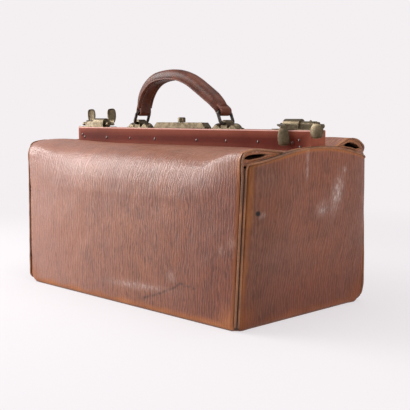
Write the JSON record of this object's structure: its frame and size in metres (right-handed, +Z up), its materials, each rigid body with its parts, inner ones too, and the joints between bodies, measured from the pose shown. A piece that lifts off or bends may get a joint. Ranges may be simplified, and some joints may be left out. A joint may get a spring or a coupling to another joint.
{
  "type": "gladstone bag",
  "caption": "Leather travelling bag with arched stiff ends, a hinged two-jaw steel frame, flip-over brass catches, a sliding lock and a padded handle on rings.",
  "frame": {"origin": "middle of the bag's base, on the surface it stands on", "axes": "+X along the bag towards the end with the closed catch, +Y to the rear, +Z up"},
  "size_m": [0.5256, 0.257, 0.3209],
  "materials": {
    "body_leather": "worn, straight-grained, low sheen",
    "edge_leather": "rubbed edges",
    "frame_leather": "smooth, polished",
    "handle_leather": "smooth, stitched, worn",
    "lining_cloth": "plain cloth",
    "board": "millboard",
    "brass": "tarnished, dull",
    "ring_iron": "dark, worn",
    "frame_steel": "japanned"
  },
  "bodies": {
    "body": {"front_panel": "body_leather", "rear_panel": "body_leather", "left_end_panel": "body_leather", "right_end_panel": "body_leather", "bottom_panel": "body_leather", "base_board": "board", "lining": "lining_cloth", "corner_welts": "edge_leather", "end_bindings": "edge_leather", "hinge_brackets": "frame_steel", "hinge_pins": "frame_steel", "front_shoulder": "body_leather", "rear_shoulder": "body_leather", "front_corner_pleats": "body_leather", "rear_corner_pleats": "body_leather"},
    "front_jaw": {"front_jaw_frame": "frame_steel", "front_jaw_cover": "frame_leather", "front_frame_rivets": "ring_iron", "left_ring_plate": "brass", "right_ring_plate": "brass", "plate_rivets": "brass", "lock_case": "brass", "left_catch_base": "brass", "right_catch_base": "brass"},
    "rear_jaw": {"rear_jaw_frame": "frame_steel", "rear_jaw_cover": "frame_leather", "rear_frame_rivets": "ring_iron", "lock_hook": "brass", "catch_keepers": "brass"},
    "lock_slider": {"lock_bolt": "frame_steel", "lock_knob": "brass"},
    "left_catch": {"left_catch_lever": "brass"},
    "right_catch": {"right_catch_lever": "brass"},
    "left_handle_ring": {"left_ring": "ring_iron"},
    "right_handle_ring": {"right_ring": "ring_iron"},
    "handle": {"handle_cover": "handle_leather", "handle_core": "board", "handle_loops": "handle_leather"}
  },
  "joints": [
    {"name": "front_jaw_swing", "type": "hinge", "parent": "body", "child": "front_jaw", "pos_m": [0, 0, 0.122], "axis": [1, 0, 0], "range_deg": [0, 38], "deforming": ["front_shoulder", "front_corner_pleats"]},
    {"name": "rear_jaw_swing", "type": "hinge", "parent": "body", "child": "rear_jaw", "pos_m": [0, 0, 0.122], "axis": [-1, 0, 0], "range_deg": [0, 38], "deforming": ["rear_shoulder", "rear_corner_pleats"]},
    {"name": "lock_slide", "type": "slide", "parent": "front_jaw", "child": "lock_slider", "axis": [-1, 0, 0], "range_m": [0, 0.008]},
    {"name": "left_catch_flip", "type": "hinge", "parent": "front_jaw", "child": "left_catch", "pos_m": [-0.216, 0.001, 0.242], "axis": [1, 0, 0], "range_deg": [0, 180]},
    {"name": "right_catch_flip", "type": "hinge", "parent": "front_jaw", "child": "right_catch", "pos_m": [0.216, 0.001, 0.242], "axis": [-1, 0, 0], "range_deg": [0, 180]},
    {"name": "left_ring_swing", "type": "hinge", "parent": "front_jaw", "child": "left_handle_ring", "pos_m": [-0.091, -0.00725, 0.244], "axis": [0, 1, 0], "range_deg": [-15, 15]},
    {"name": "right_ring_swing", "type": "hinge", "parent": "front_jaw", "child": "right_handle_ring", "pos_m": [0.091, -0.00725, 0.244], "axis": [0, 1, 0], "range_deg": [-15, 15]},
    {"name": "handle_level", "type": "hinge", "parent": "left_handle_ring", "child": "handle", "pos_m": [-0.084, -0.00725, 0.261], "axis": [0, 1, 0], "range_deg": [-17, 17]}
  ],
  "couplings": [
    {"joint": "right_ring_swing", "follows": "left_ring_swing", "ratio": 1},
    {"joint": "handle_level", "follows": "left_ring_swing", "ratio": -1.0833}
  ]
}
